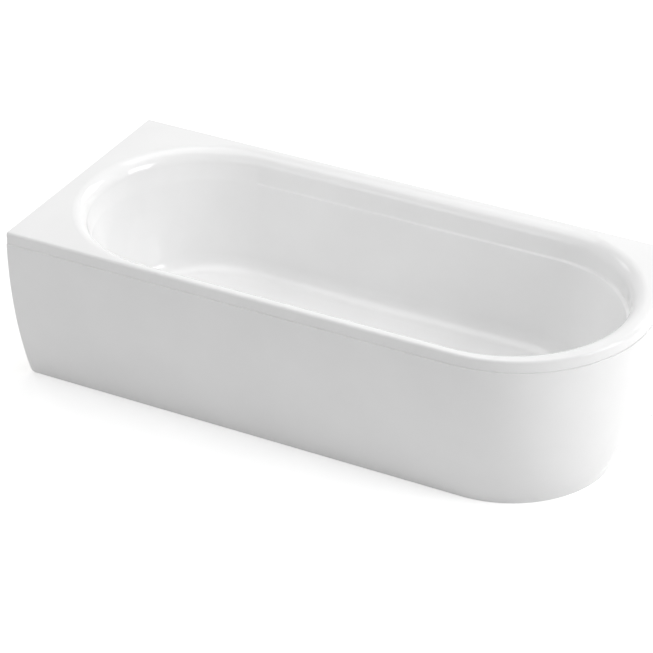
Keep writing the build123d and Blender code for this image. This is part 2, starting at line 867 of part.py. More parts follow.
with BuildPart() as lift_rocker:
    extrude(
        rocker_link(rocker_arm, rocker_tip_radius, 180 + rocker_lean), amount=rocker_width / 2, both=True
    )
    wire_angle = 270 + rocker_lean
    extrude(
        rocker_link(rocker_crank, rocker_tip_radius, wire_angle), amount=rocker_width / 2, both=True
    )
    wire_y = rocker_y + rocker_crank * cos(radians(wire_angle))
    wire_z = rocker_z + rocker_crank * sin(radians(wire_angle))
    with Locations(Location((0, wire_y, wire_z), turn_to_right)):
        Cylinder(rocker_wire_radius, 2 * rocker_width, mode=Mode.SUBTRACT)
    with Locations(Location((0, rocker_y, rocker_z), turn_to_right)):
        Cylinder(rocker_pin_radius + running_gap, 2 * rocker_width, mode=Mode.SUBTRACT)
save(lift_rocker, "lift_rocker")

with BuildPart() as rocker_pin:
    with Locations(Location((0, rocker_y, rocker_z), turn_to_right)):
        Cylinder(rocker_pin_radius, pin_length)
save(rocker_pin, "rocker_pin")

# Trap: down from the neck, round a U and out to the back wall
trap_top = neck_end - trap_run
outlet_z = trap_top + bend_radius
outlet_reach = 3 * bend_radius + trap_tail
outlet_joint = basin_y + outlet_reach
with BuildLine(Plane(origin=(0, basin_y, 0), x_dir=(0, 1, 0), z_dir=(1, 0, 0))) as trap_path:
    drop = Line((0, neck_end), (0, trap_top))
    u_bend = JernArc(drop @ 1, drop % 1, bend_radius, 180)
    turn_out = JernArc(u_bend @ 1, u_bend % 1, bend_radius, -90)
    Line(turn_out @ 1, (outlet_reach, outlet_z))

trap_low = trap_top - bend_radius
cap_boss_reach = pipe_radius + cap_boss_length
cap_plane = Plane(origin=(0, basin_y + bend_radius, trap_low), x_dir=(0, 1, 0), z_dir=(1, 0, 0))
with BuildPart() as trap_bend:
    with BuildSketch(Plane.XY.offset(neck_end)):
        with Locations((0, basin_y)):
            Circle(pipe_radius)
    sweep(path=trap_path.wire())
    with BuildSketch(cap_plane):
        Circle(cap_boss_radius)
    extrude(amount=cap_boss_reach)
    with BuildSketch(Plane.XY.offset(neck_end)):
        with Locations((0, basin_y)):
            Circle(pipe_radius - pipe_wall)
    sweep(path=trap_path.wire(), mode=Mode.SUBTRACT)
    with BuildSketch(cap_plane):
        Circle(cap_boss_radius - cap_boss_wall)
    extrude(amount=cap_boss_reach, mode=Mode.SUBTRACT)
save(trap_bend, "trap_bend")


def knurled(plane, radius, ribs, rib_radius):
    """A round outline with small ribs for the grip."""
    with BuildSketch(plane) as outline:
        Circle(radius)
        with PolarLocations(radius, ribs):
            Circle(rib_radius)
    return outline.sketch


with BuildPart() as trap_cleaning_cap:
    cap_start = cap_plane.offset(cap_boss_reach - cap_skirt)
    extrude(
        knurled(cap_start, cap_boss_radius + cap_wall, union_ribs, cap_wall / 2), amount=cap_skirt + cap_wall
    )
    with BuildSketch(cap_start):
        Circle(cap_boss_radius + running_gap)
    extrude(amount=cap_skirt, mode=Mode.SUBTRACT)
save(trap_cleaning_cap, "trap_cleaning_cap")


def union_nut(name, plane):
    """A ribbed nut round a pipe joint, centred on the plane."""
    with BuildPart() as nut:
        extrude(knurled(plane, union_radius, union_ribs, union_rib_radius), amount=union_length / 2, both=True)
        with BuildSketch(plane):
            Circle(pipe_radius + running_gap)
        extrude(amount=union_length, both=True, mode=Mode.SUBTRACT)
    save(nut, name)


union_nut("trap_inlet_nut", Plane(origin=(0, basin_y, trap_top + union_length / 2), z_dir=(0, 0, 1)))
union_nut("trap_outlet_nut", Plane(origin=(0, outlet_joint, outlet_z), z_dir=(0, 1, 0)))

# Outlet pipe: a spigot in the nut, and a full-size pipe from the nut to the back wall
outlet_shoulder = outlet_joint + union_length / 2 + seat_gap
with BuildPart() as outlet_pipe:
    with BuildSketch(Plane(origin=(0, outlet_shoulder, outlet_z), z_dir=(0, 1, 0))):
        Circle(outlet_radius)
    extrude(amount=back_y - outlet_shoulder)
    with BuildSketch(Plane(origin=(0, outlet_joint, outlet_z), z_dir=(0, 1, 0))):
        Circle(pipe_radius)
    extrude(amount=outlet_shoulder - outlet_joint)
    with BuildSketch(Plane(origin=(0, outlet_joint, outlet_z), z_dir=(0, 1, 0))):
        Circle(pipe_radius - pipe_wall)
    extrude(amount=back_y - outlet_joint, mode=Mode.SUBTRACT)
save(outlet_pipe, "outlet_pipe")

# Overflow plate, gasket and housing, clamped through the front wall by two screws
overflow_axis = Axis(overflow_plane.origin, overflow_plane.z_dir)
wall_back = shell * cos(wall_lean) + gasket_thickness
housing_end = wall_back + housing_depth
ear_places = [(0, overflow_screw_ring), (0, -overflow_screw_ring)]


def into_basin(distance):
    """Plane parallel to the overflow's, moved into the basin, or out of it where negative."""
    return overflow_plane.offset(distance)


def down_wall(x, distance, depth):
    """Plane across the hose's way, at a distance down the wall and a depth behind its face."""
    place = overflow_plane.origin + overflow_plane.y_dir * distance - overflow_plane.z_dir * depth
    return Plane(origin=place + Vector(x, 0, 0), x_dir=(1, 0, 0), z_dir=overflow_plane.y_dir)


with BuildPart() as overflow_plate:
    with BuildSketch(overflow_plane):
        Circle(overflow_plate_radius)
        Circle(spindle_radius + running_gap, mode=Mode.SUBTRACT)
        with PolarLocations(overflow_slot_ring, overflow_slots):
            Circle(overflow_slot_radius, mode=Mode.SUBTRACT)
        with Locations(*ear_places):
            Circle(screw_radius + screw_clearance, mode=Mode.SUBTRACT)
    extrude(amount=overflow_plate_thickness)
    front_edges = overflow_plate.edges().filter_by(GeomType.CIRCLE).sort_by(SortBy.RADIUS)[-2:]
    fillet(front_edges.sort_by(overflow_axis)[-1], radius=overflow_plate_thickness / 2)
    with BuildSketch(overflow_plane):
        Circle(plate_hub_radius)
        Circle(spindle_radius + running_gap, mode=Mode.SUBTRACT)
    extrude(amount=-plate_hub_length)
save(overflow_plate, "overflow_plate")

with BuildPart() as overflow_gasket:
    with BuildSketch(into_basin(-wall_back)):
        Circle(housing_radius)
        Circle(overflow_hole_radius, mode=Mode.SUBTRACT)
    extrude(amount=gasket_thickness)
save(overflow_gasket, "overflow_gasket")

with BuildPart() as overflow_housing:
    with BuildSketch(into_basin(-housing_end)):
        Circle(housing_radius)
    extrude(amount=housing_depth)
    with BuildSketch(down_wall(0, 0, spigot_depth)):
        Circle(hose_fit_radius)
    extrude(amount=housing_radius + spigot_length)
    with BuildSketch(down_wall(cable_offset, 0, spigot_depth)):
        Circle(gland_radius)
    extrude(amount=housing_radius + gland_radius)
    with BuildSketch(into_basin(housing_wall - housing_end)):
        Circle(housing_radius - housing_wall)
    extrude(amount=housing_depth, mode=Mode.SUBTRACT)
    with BuildSketch(into_basin(-wall_back - ear_height)):
        Circle(housing_radius - housing_wall / 2)
        Circle(housing_radius - ear_reach, mode=Mode.SUBTRACT)
        Rectangle(ear_width, 2 * housing_radius, mode=Mode.INTERSECT)
        with Locations(*ear_places):
            Circle(screw_radius + running_gap, mode=Mode.SUBTRACT)
    extrude(amount=ear_height)
    with BuildSketch(down_wall(0, 0, spigot_depth)):
        Circle(port_bore)
    extrude(amount=housing_radius + spigot_length, mode=Mode.SUBTRACT)
    with BuildSketch(down_wall(cable_offset, 0, spigot_depth)):
        Circle(cable_radius + running_gap)
    extrude(amount=housing_radius + gland_radius, mode=Mode.SUBTRACT)
save(overflow_housing, "overflow_housing")

screw_face = overflow_plane.offset(overflow_plate_thickness)
with BuildPart() as overflow_screws:
    with Locations(*[screw_face.location * Location((x, y, 0), (180, 0, 0)) for x, y in ear_places]):
        add(long_screw)
save(overflow_screws, "overflow_screws")

# Knob that pulls the plug's cable, with its spindle and the crank on the spindle's end
knob_top = knob_standoff + knob_thickness
section_plane = Plane(origin=overflow_plane.origin, x_dir=(1, 0, 0), z_dir=-overflow_plane.y_dir)
with BuildPart() as overflow_knob:
    with BuildSketch(section_plane):
        with BuildLine():
            face = TangentArc((0, knob_top), (knob_radius, knob_top - knob_crown), tangent=(1, 0))
            Polyline(
                face @ 1,
                (knob_radius, knob_standoff),
                (knob_radius - knob_wall, knob_standoff),
                (knob_radius - knob_wall, knob_top - knob_crown - knob_wall),
                (knob_boss_radius, knob_top - knob_crown - knob_wall),
                (knob_boss_radius, knob_standoff),
                (spindle_radius, knob_standoff),
                (spindle_radius, -spindle_reach),
                (0, -spindle_reach),
                face @ 0,
            )
        make_face()
    revolve(axis=overflow_axis)
    with BuildSketch(into_basin(knob_standoff)):
        with PolarLocations(knob_radius + knob_flute_radius - knob_flute_depth, knob_flutes):
            Circle(knob_flute_radius)
    extrude(amount=knob_thickness, mode=Mode.SUBTRACT)
save(overflow_knob, "overflow_knob")

crank_arm = rocker_crank * sin(radians(rocker_lean)) / sin(radians(knob_swing / 2))
cable_turn = degrees(acos(cable_offset / (housing_radius - housing_wall)))
crank_turn = cable_turn + (180 - knob_swing) / 2
with BuildPart() as knob_crank:
    with BuildSketch(into_basin(-spindle_reach - crank_cover)):
        Circle(crank_radius)
    extrude(amount=2 * crank_cover)
    with BuildSketch(into_basin(-spindle_reach)):
        Circle(spindle_radius + running_gap)
    extrude(amount=crank_cover, mode=Mode.SUBTRACT)
    with BuildSketch(into_basin(-spindle_reach - crank_cover)):
        with Locations((crank_arm * cos(radians(crank_turn)), crank_arm * sin(radians(crank_turn)))):
            Circle(crank_pin_radius)
    extrude(amount=-crank_pin_length)
save(knob_crank, "knob_crank")


# Overflow hose and cable: down behind the wall, round one bend and along to the waste
def service_path(x, first, last_reach):
    """Route at x from a distance down the wall to a distance in front of the waste."""
    start = down_wall(x, first, spigot_depth).origin
    fall = (start.Z - port_height) / -overflow_plane.y_dir.Z
    corner = start + overflow_plane.y_dir * fall
    with BuildLine() as path:
        FilletPolyline(start, corner, (x, basin_y - last_reach, port_height), radius=hose_bend)
    return path.wire()


def service_tube(path, radius, bore):
    """A tube along the route."""
    with BuildPart() as tube:
        with BuildSketch(Plane(origin=path @ 0, x_dir=(1, 0, 0), z_dir=path % 0)):
            Circle(radius)
            if bore:
                Circle(bore, mode=Mode.SUBTRACT)
        sweep(path=path)
    return tube


hose_path = service_path(0, housing_radius + hose_inset, body_radius + hose_inset)
overflow_hose = service_tube(hose_path, hose_radius, hose_radius - hose_wall)
save(overflow_hose, "overflow_hose")

cable_path = service_path(cable_offset, housing_radius - hose_inset, gland_start)
popup_cable = service_tube(cable_path, cable_radius, 0)
save(popup_cable, "popup_cable")

clip_starts = [
    down_wall(0, housing_radius + spigot_length / 2, spigot_depth),
    port_plane(0, (body_radius + port_reach) / 2),
]
with BuildPart() as hose_clips:
    for plane in clip_starts:
        with BuildSketch(plane):
            Circle(hose_clip_radius)
            Circle(hose_radius + running_gap, mode=Mode.SUBTRACT)
        extrude(amount=hose_clip_length / 2, both=True)
save(hose_clips, "hose_clips")
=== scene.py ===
import json
from math import asin, atan2, cos, pi, radians, sin, sqrt, tan

import bmesh
import bpy
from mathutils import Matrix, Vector


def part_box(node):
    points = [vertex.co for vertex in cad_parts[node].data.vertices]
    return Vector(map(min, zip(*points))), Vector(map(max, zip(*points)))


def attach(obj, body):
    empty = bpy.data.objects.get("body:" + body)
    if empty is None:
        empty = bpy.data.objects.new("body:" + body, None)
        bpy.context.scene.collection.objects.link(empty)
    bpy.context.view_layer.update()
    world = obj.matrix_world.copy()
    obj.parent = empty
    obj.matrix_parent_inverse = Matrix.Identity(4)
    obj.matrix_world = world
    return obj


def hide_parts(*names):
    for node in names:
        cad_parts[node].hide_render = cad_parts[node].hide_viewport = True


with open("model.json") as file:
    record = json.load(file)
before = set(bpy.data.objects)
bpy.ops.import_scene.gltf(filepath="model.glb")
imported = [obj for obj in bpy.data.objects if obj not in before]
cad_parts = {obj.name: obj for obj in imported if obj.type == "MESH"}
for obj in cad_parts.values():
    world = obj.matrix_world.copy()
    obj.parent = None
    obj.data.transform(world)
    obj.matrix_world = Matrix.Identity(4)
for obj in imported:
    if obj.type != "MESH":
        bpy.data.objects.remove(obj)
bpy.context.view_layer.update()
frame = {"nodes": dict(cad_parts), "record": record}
print("frame loaded:", len(frame["nodes"]), "nodes")

# points closer than this in metres are one point
tiny = 1e-5
mmPerMetre = 1000
roundProfile = 0.5
smoothAngle = radians(32)


# Picking and shaping in edit mode

def deselectAll():
    for obj in bpy.context.selected_objects:
        obj.select_set(False)


def openPiece(name):
    # names the primitive that was just added and opens it for editing
    piece = bpy.context.active_object
    piece.name = name
    piece.data.name = name
    bpy.ops.object.mode_set(mode="EDIT")
    return piece


def closePiece():
    bpy.ops.object.mode_set(mode="OBJECT")


def openMesh():
    mesh = bmesh.from_edit_mesh(bpy.context.edit_object.data)
    mesh.verts.index_update()
    return mesh


def pickVerts(test):
    bpy.ops.mesh.select_mode(type="VERT")
    mesh = openMesh()
    for vert in mesh.verts:
        vert.select_set(test(vert))
    mesh.select_flush_mode()
    bmesh.update_edit_mesh(bpy.context.edit_object.data)


def pickEdges(test):
    bpy.ops.mesh.select_mode(type="EDGE")
    bpy.ops.mesh.select_all(action="DESELECT")
    mesh = openMesh()
    for edge in mesh.edges:
        if test(edge.verts[0].co, edge.verts[1].co):
            edge.select_set(True)
    bmesh.update_edit_mesh(bpy.context.edit_object.data)


def pickFaces(test):
    bpy.ops.mesh.select_mode(type="FACE")
    bpy.ops.mesh.select_all(action="DESELECT")
    mesh = openMesh()
    for face in mesh.faces:
        if test(face):
            face.select_set(True)
    bmesh.update_edit_mesh(bpy.context.edit_object.data)


def pickedVerts():
    return {vert.index for vert in openMesh().verts if vert.select}


def makeActive(piece):
    deselectAll()
    piece.select_set(True)
    bpy.context.view_layer.objects.active = piece


def applyModifier(piece, kind, **settings):
    makeActive(piece)
    modifier = piece.modifiers.new(kind.title(), kind)
    for key, value in settings.items():
        setattr(modifier, key, value)
    bpy.ops.object.modifier_apply(modifier=modifier.name)


def cutAway(piece, cutter, operation="DIFFERENCE"):
    # joins or cuts with another piece, which is then thrown away
    applyModifier(piece, "BOOLEAN", operation=operation, object=cutter, solver="EXACT")
    bpy.data.objects.remove(cutter)


def giveWall(piece, thickness):
    # acrylic on the face that shows, with its backing on the hidden side
    piece.data.materials.append(acrylic)
    piece.data.materials.append(backing)
    applyModifier(
        piece,
        "SOLIDIFY",
        thickness=thickness,
        offset=-1,
        use_even_offset=True,
        material_offset=1,
    )


def smoothPiece(piece):
    makeActive(piece)
    bpy.ops.object.shade_smooth_by_angle(angle=smoothAngle)
    applyModifier(piece, "WEIGHTED_NORMAL", keep_sharp=True)


# Materials, each from noise in the piece's own coordinates

def hexToLinear(text):
    parts = [int(text[i:i + 2], 16) / 255 for i in (0, 2, 4)]
    linear = [c / 12.92 if c <= 0.04045 else ((c + 0.055) / 1.055) ** 2.4 for c in parts]
    return (*linear, 1.0)


def addNode(tree, kind, settings=None, links=None):
    node = tree.nodes.new(kind)
    for key, value in (settings or {}).items():
        if isinstance(key, int) or key in node.inputs:
            node.inputs[key].default_value = value
        else:
            setattr(node, key, value)
    for key, socket in (links or {}).items():
        tree.links.new(socket, node.inputs[key])
    return node


def newMaterial(name, **settings):
    material = bpy.data.materials.new(name)
    material.use_nodes = True
    tree = material.node_tree
    shader = tree.nodes["Principled BSDF"]
    for key, value in settings.items():
        shader.inputs[key].default_value = value
    place = addNode(tree, "ShaderNodeTexCoord").outputs["Object"]
    return material, tree, shader, place


def spread(tree, factor, low, high):
    node = addNode(tree, "ShaderNodeMapRange", {"To Min": low, "To Max": high}, {"Value": factor})
    return node.outputs["Result"]


def noise(tree, place, size, detail=2.0, roughness=0.5):
    # size is the width of one blotch in millimetres
    settings = {"Scale": mmPerMetre / size, "Detail": detail, "Roughness": roughness}
    return addNode(tree, "ShaderNodeTexNoise", settings, {"Vector": place}).outputs["Fac"]


def ridges(tree, place, along, pitch):
    # even ridges across a direction, with the pitch in millimetres
    dot = addNode(tree, "ShaderNodeVectorMath", {"operation": "DOT_PRODUCT", 1: along}, {0: place})
    rate = 2 * pi * mmPerMetre / pitch
    turns = addNode(
        tree, "ShaderNodeMath", {"operation": "MULTIPLY", 1: rate}, {0: dot.outputs["Value"]}
    )
    wave = addNode(tree, "ShaderNodeMath", {"operation": "SINE"}, {0: turns.outputs[0]})
    return wave.outputs[0]


def tintBase(tree, shader, factor, *stops):
    # base colour from a factor, by stops of position and colour
    ramp = addNode(tree, "ShaderNodeValToRGB", links={"Fac": factor})
    elements = ramp.color_ramp.elements
    for i, (position, text) in enumerate(stops):
        element = elements[i] if i < 2 else elements.new(position)
        element.position = position
        element.color = hexToLinear(text)
    tree.links.new(ramp.outputs["Color"], shader.inputs["Base Color"])


def varyRoughness(tree, shader, factor, low, high):
    tree.links.new(spread(tree, factor, low, high), shader.inputs["Roughness"])


def bump(tree, shader, height, distance):
    node = addNode(tree, "ShaderNodeBump", {"Distance": distance}, {"Height": height})
    tree.links.new(node.outputs["Normal"], shader.inputs["Normal"])


def addRidges(material, name, along, pitch, distance):
    # a ridged kind of a material
    material.name = name
    tree = material.node_tree
    place = addNode(tree, "ShaderNodeTexCoord").outputs["Object"]
    height = ridges(tree, place, along, pitch)
    bump(tree, tree.nodes["Principled BSDF"], height, distance)
    return material


def sanitaryAcrylic():
    # cast acrylic sheet, vacuum formed: white gloss with a faint long ripple from the mould
    material, tree, shader, place = newMaterial("white cast acrylic", IOR=1.49)
    cloud = noise(tree, place, size=180, detail=3.0)
    tintBase(tree, shader, cloud, (0.3, "F4F4F4"), (0.7, "F7F7F7"))
    varyRoughness(tree, shader, noise(tree, place, size=60), low=0.05, high=0.08)
    bump(tree, shader, noise(tree, place, size=45), distance=0.00003)
    return material


def fibreBacking():
    # sprayed glass fibre and resin on the hidden side
    material, tree, shader, place = newMaterial("glass fibre backing", Roughness=0.55)
    strands = noise(tree, place, size=4, detail=6.0, roughness=0.7)
    tintBase(tree, shader, strands, (0.3, "CFCDC4"), (0.7, "E4E2DA"))
    bump(tree, shader, strands, distance=0.0006)
    return material


def sawnSoftwood(name, along):
    # sawn pine batten: yellow wood with darker late-wood lines drawn out along its length
    material, tree, shader, place = newMaterial(name)
    grainShare = 0.06
    squeeze = (grainShare, 1, 1) if along == "x" else (1, grainShare, 1)
    mapping = addNode(tree, "ShaderNodeMapping", {"Scale": squeeze}, {"Vector": place})
    grain = noise(tree, mapping.outputs["Vector"], size=5, detail=5.0, roughness=0.6)
    tintBase(tree, shader, grain, (0.32, "B98A52"), (0.5, "D9B27C"), (0.68, "E6C795"))
    varyRoughness(tree, shader, grain, low=0.62, high=0.8)
    bump(tree, shader, grain, distance=0.0004)
    return material


def pressedChipboard():
    # pressed wood chips about 5 mm wide in a light resin
    material, tree, shader, place = newMaterial("pressed chipboard", Roughness=0.78)
    chipSize = 5.0
    chips = addNode(
        tree, "ShaderNodeTexVoronoi", {"Scale": mmPerMetre / chipSize}, {"Vector": place}
    )
    split = addNode(tree, "ShaderNodeSeparateColor", links={"Color": chips.outputs["Color"]})
    chipTints = (0.0, "9C7A4E"), (0.5, "BF9C6B"), (1.0, "D8BC8C")
    tintBase(tree, shader, split.outputs["Red"], *chipTints)
    bump(tree, shader, chips.outputs["Distance"], distance=0.0004)
    return material


def zincPlate():
    # bright zinc on pressed steel: a dull silver with soft mottling
    material, tree, shader, place = newMaterial("zinc-plated steel", Metallic=1.0)
    mottle = noise(tree, place, size=6, detail=4.0, roughness=0.6)
    tintBase(tree, shader, mottle, (0.3, "A6A9AC"), (0.7, "C9CBCC"))
    varyRoughness(tree, shader, mottle, low=0.28, high=0.42)
    bump(tree, shader, noise(tree, place, size=2.5), distance=0.00005)
    return material


def powderCoat():
    # black powder coat, baked: an even orange peel about 1.5 mm wide
    material, tree, shader, place = newMaterial("black powder coat", Roughness=0.45)
    peel = noise(tree, place, size=1.5, detail=1.0)
    tintBase(tree, shader, peel, (0.2, "17181A"), (0.8, "232527"))
    bump(tree, shader, peel, distance=0.0001)
    return material


def mouldedPlastic(name, dark, light, roughness):
    # injection moulded, with the mould's fine spark-eroded grain
    material, tree, shader, place = newMaterial(name, IOR=1.5)
    tintBase(tree, shader, noise(tree, place, size=30, detail=3.0), (0.3, dark), (0.7, light))
    patches = noise(tree, place, size=8)
    varyRoughness(tree, shader, patches, low=roughness - 0.05, high=roughness + 0.05)
    bump(tree, shader, noise(tree, place, size=1.2), distance=0.00006)
    return material


def polishedChrome():
    # polished chrome plate on brass or plastic, with a trace of water marks
    material, tree, shader, place = newMaterial("polished chrome", Metallic=1.0)
    marks = noise(tree, place, size=12, detail=3.0, roughness=0.6)
    tintBase(tree, shader, marks, (0.3, "D3D5D8"), (0.7, "E2E4E6"))
    varyRoughness(tree, shader, marks, low=0.04, high=0.12)
    return material


def mouldedRubber():
    # black rubber with a dull bloom
    material, tree, shader, place = newMaterial("black rubber")
    bloom = noise(tree, place, size=5, detail=4.0, roughness=0.6)
    tintBase(tree, shader, bloom, (0.3, "0F0F10"), (0.7, "1C1C1D"))
    varyRoughness(tree, shader, bloom, low=0.6, high=0.8)
    bump(tree, shader, bloom, distance=0.0001)
    return material


acrylic = sanitaryAcrylic()
backing = fibreBacking()
# the feet's studs have a thread of 1.75 mm pitch, and the hose a rib every 5 mm of its slope
thread = addRidges(zincPlate(), "zinc-plated thread", along=(0, 0, 1), pitch=1.75, distance=0.0008)
ribbedHose = addRidges(
    mouldedPlastic("grey hose", "A9ABAD", "BBBDBF", roughness=0.42),
    "grey ribbed hose",
    along=(0, 1, -1),
    pitch=5.0,
    distance=0.0015,
)
softwoodAlongX = sawnSoftwood("sawn softwood along the bath", "x")
softwoodAlongY = sawnSoftwood("sawn softwood across the bath", "y")
finishes = {
    "acrylic": acrylic,
    "apron_acrylic": acrylic,
    "chipboard": pressedChipboard(),
    "zinc_steel": zincPlate(),
    "rail_paint": powderCoat(),
    "foot_plastic": mouldedPlastic("black polypropylene", "121213", "1D1D1F", roughness=0.5),
    "chrome": polishedChrome(),
    "pipe_plastic": mouldedPlastic("white polypropylene", "DCDCDA", "E8E8E6", roughness=0.38),
    "fitting_plastic": mouldedPlastic(
        "dark grey polypropylene", "2B2D2F", "37393B", roughness=0.45
    ),
    "hose_plastic": ribbedHose,
    "cable_jacket": mouldedPlastic("black cable jacket", "101011", "1B1B1C", roughness=0.4),
    "seal_rubber": mouldedRubber(),
}


# Bathtub surface: rim, lip and basin, as one moulded sheet. Lengths are in metres

tub = {
    "lipHeight": 0.033,
    "cornerRadius": 0.377,
    "cornerSteps": 60,
    "edgeRadius": 0.008,
    "edgeSteps": 6,
    "leastDeckArea": 0.5,
    "leftCentre": -0.448,
    "rightCentre": 0.455,
    "floorRightCentre": 0.393,
    "rollRadius": 0.042,
    "rimFlat": 0.0006,
    "rollSteps": 12,
    "bandHeight": 0.038,
    "bandSlope": 0.0025,
    "ledgeWidth": 0.008,
    "ledgeDrop": 0.005,
    "creaseRadius": 0.0025,
    "creaseSteps": 3,
    "wallSlope": 0.0345,
    "wallSteps": 5,
    "floorHeight": 0.135,
    "floorFillet": 0.05,
    "filletSteps": 12,
    "endSteps": 72,
    "shell": 0.005,
    "bossRadius": 0.046,
    "bossOverlap": 0.0005,
    "recessRadius": 0.037,
    "recessDepth": 0.003,
    "wasteRadius": 0.026,
    "overflowHeight": 0.358,
    "overflowRadius": 0.028,
    "overflowCutReach": 0.03,
    "roundSteps": 64,
}
tubLow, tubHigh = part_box("tub_shell")
basinY = (tubLow.y + tubHigh.y) / 2
rimZ = tubHigh.z
# a hair of flat is left between the lip's rounded edge and the roll
rollWidth = tub["rollRadius"] - tub["rimFlat"]
rollStart = (tubHigh.y - tubLow.y) / 2 - tub["edgeRadius"] - tub["rimFlat"]
rollZ = rimZ - tub["rollRadius"]
creaseZ = rollZ - tub["bandHeight"]
ledgeZ = creaseZ - tub["ledgeDrop"]
rollReach = rollStart - rollWidth
creaseReach = rollReach - tub["bandSlope"]
ledgeReach = creaseReach - tub["ledgeWidth"]
wallDrop = ledgeZ - tub["floorHeight"]


def filletHeight(turn):
    # height on the fillet into the floor, by how far it has turned from upright
    return tub["floorHeight"] + tub["floorFillet"] * (1 - sin(turn))


def lowerReach(z, slope):
    # distance of the lower wall from its end's centre at a height, with the fillet into the floor
    lean = atan2(slope, wallDrop)
    fillet = tub["floorFillet"]
    if z > filletHeight(lean):
        return ledgeReach - slope * (ledgeZ - z) / wallDrop
    filletReach = ledgeReach - slope - fillet * tan((pi / 2 - lean) / 2)
    rise = fillet - (z - tub["floorHeight"])
    return filletReach + sqrt(max(fillet ** 2 - rise ** 2, 0))


wallLean = atan2(tub["wallSlope"], wallDrop)
overflowReach = lowerReach(tub["overflowHeight"], tub["wallSlope"])
overflowPlace = Vector((0, basinY - overflowReach, tub["overflowHeight"]))


def basinRings():
    # (reach, height, right centre) of each ring of the basin, from the rim down
    rings = []
    for step in range(1, tub["rollSteps"] + 1):
        turn = step / tub["rollSteps"] * pi / 2
        reach = rollStart - rollWidth * sin(turn)
        rings.append((reach, rollZ + tub["rollRadius"] * cos(turn), tub["rightCentre"]))
    rings.append((creaseReach, creaseZ, tub["rightCentre"]))
    rings.append((ledgeReach, ledgeZ, tub["rightCentre"]))
    endSlope = tub["wallSlope"] + tub["rightCentre"] - tub["floorRightCentre"]
    lean = wallLean
    wallRise = filletHeight(lean) - ledgeZ
    heights = [ledgeZ + wallRise * (i + 1) / tub["wallSteps"] for i in range(tub["wallSteps"])]
    for step in range(1, tub["filletSteps"] + 1):
        heights.append(filletHeight(lean + (pi / 2 - lean) * step / tub["filletSteps"]))
    for z in heights:
        reach = lowerReach(z, tub["wallSlope"])
        rings.append((reach, z, tub["rightCentre"] + lowerReach(z, endSlope) - reach))
    return rings


def deckOutline():
    # the rim's flat with its rounded corner, the lip below it and the rounded edge between them
    deselectAll()
    bpy.ops.mesh.primitive_plane_add(size=1, location=(0, 0, 0))
    piece = openPiece("tubSurface")
    middle = (tubLow + tubHigh) / 2
    bpy.ops.transform.resize(value=(tubHigh.x - tubLow.x, tubHigh.y - tubLow.y, 1))
    bpy.ops.transform.translate(value=(middle.x, middle.y, rimZ))
    pickVerts(lambda vert: vert.co.x > 0 and vert.co.y < 0)
    bpy.ops.mesh.bevel(
        offset=tub["cornerRadius"],
        segments=tub["cornerSteps"],
        affect="VERTICES",
        profile=roundProfile,
    )
    pickEdges(lambda a, b: True)
    bpy.ops.mesh.extrude_edges_move(TRANSFORM_OT_translate={"value": (0, 0, -tub["lipHeight"])})

    def openEdge(a, b):
        onTop = min(a.z, b.z) > rimZ - tiny
        atLeft = max(a.x, b.x) < tubLow.x + tiny
        atBack = min(a.y, b.y) > tubHigh.y - tiny
        return onTop and not atLeft and not atBack

    pickEdges(openEdge)
    bpy.ops.mesh.bevel(
        offset=tub["edgeRadius"], segments=tub["edgeSteps"], profile=roundProfile
    )
    pickFaces(lambda face: face.calc_area() > tub["leastDeckArea"])
    bpy.ops.mesh.delete(type="ONLY_FACE")
    return piece


def addStadium():
    # a circle split into two half rings, one at each end of the basin
    halfStep = pi / (2 * tub["endSteps"])
    bpy.ops.mesh.primitive_circle_add(
        vertices=2 * tub["endSteps"],
        radius=rollStart,
        location=(tub["leftCentre"], basinY, rimZ),
        rotation=(0, 0, halfStep),
    )
    ring = pickedVerts()
    pickVerts(lambda vert: vert.index in ring and vert.co.x > tub["leftCentre"])
    bpy.ops.transform.translate(value=(tub["rightCentre"] - tub["leftCentre"], 0, 0))
    return ring


def endReach(reach, z, side):
    # the left end slopes straight from the roll to the wall, so the crease fades out towards it
    if side < 0 and ledgeZ + tiny < z < rollZ - tiny:
        return ledgeReach + (rollReach - ledgeReach) * (z - ledgeZ) / (rollZ - ledgeZ)
    return reach


def extrudeRing(last, ring):
    # carries the picked ring to its next reach, height and right centre
    lastReach, lastZ, lastCentre = last
    reach, z, centre = ring
    bpy.ops.mesh.extrude_region_move(TRANSFORM_OT_translate={"value": (0, 0, z - lastZ)})
    made = pickedVerts()
    for side, pivot, shift in ((-1, tub["leftCentre"], 0), (1, lastCentre, centre - lastCentre)):
        share = endReach(reach, z, side) / endReach(lastReach, lastZ, side)
        pickVerts(lambda vert: vert.index in made and vert.co.x * side > 0)
        bpy.ops.transform.resize(value=(share, share, 1), center_override=(pivot, basinY, 0))
        bpy.ops.transform.translate(value=(shift, 0, 0))
    pickVerts(lambda vert: vert.index in made)


def cylinderCutter(radius, low, high, y=0.0):
    deselectAll()
    bpy.ops.mesh.primitive_cylinder_add(
        vertices=tub["roundSteps"],
        radius=radius,
        depth=high - low,
        location=(0, y, (low + high) / 2),
    )
    return bpy.context.active_object


def atCrease(a, b):
    return any(max(abs(a.z - z), abs(b.z - z)) < tiny for z in (creaseZ, ledgeZ))


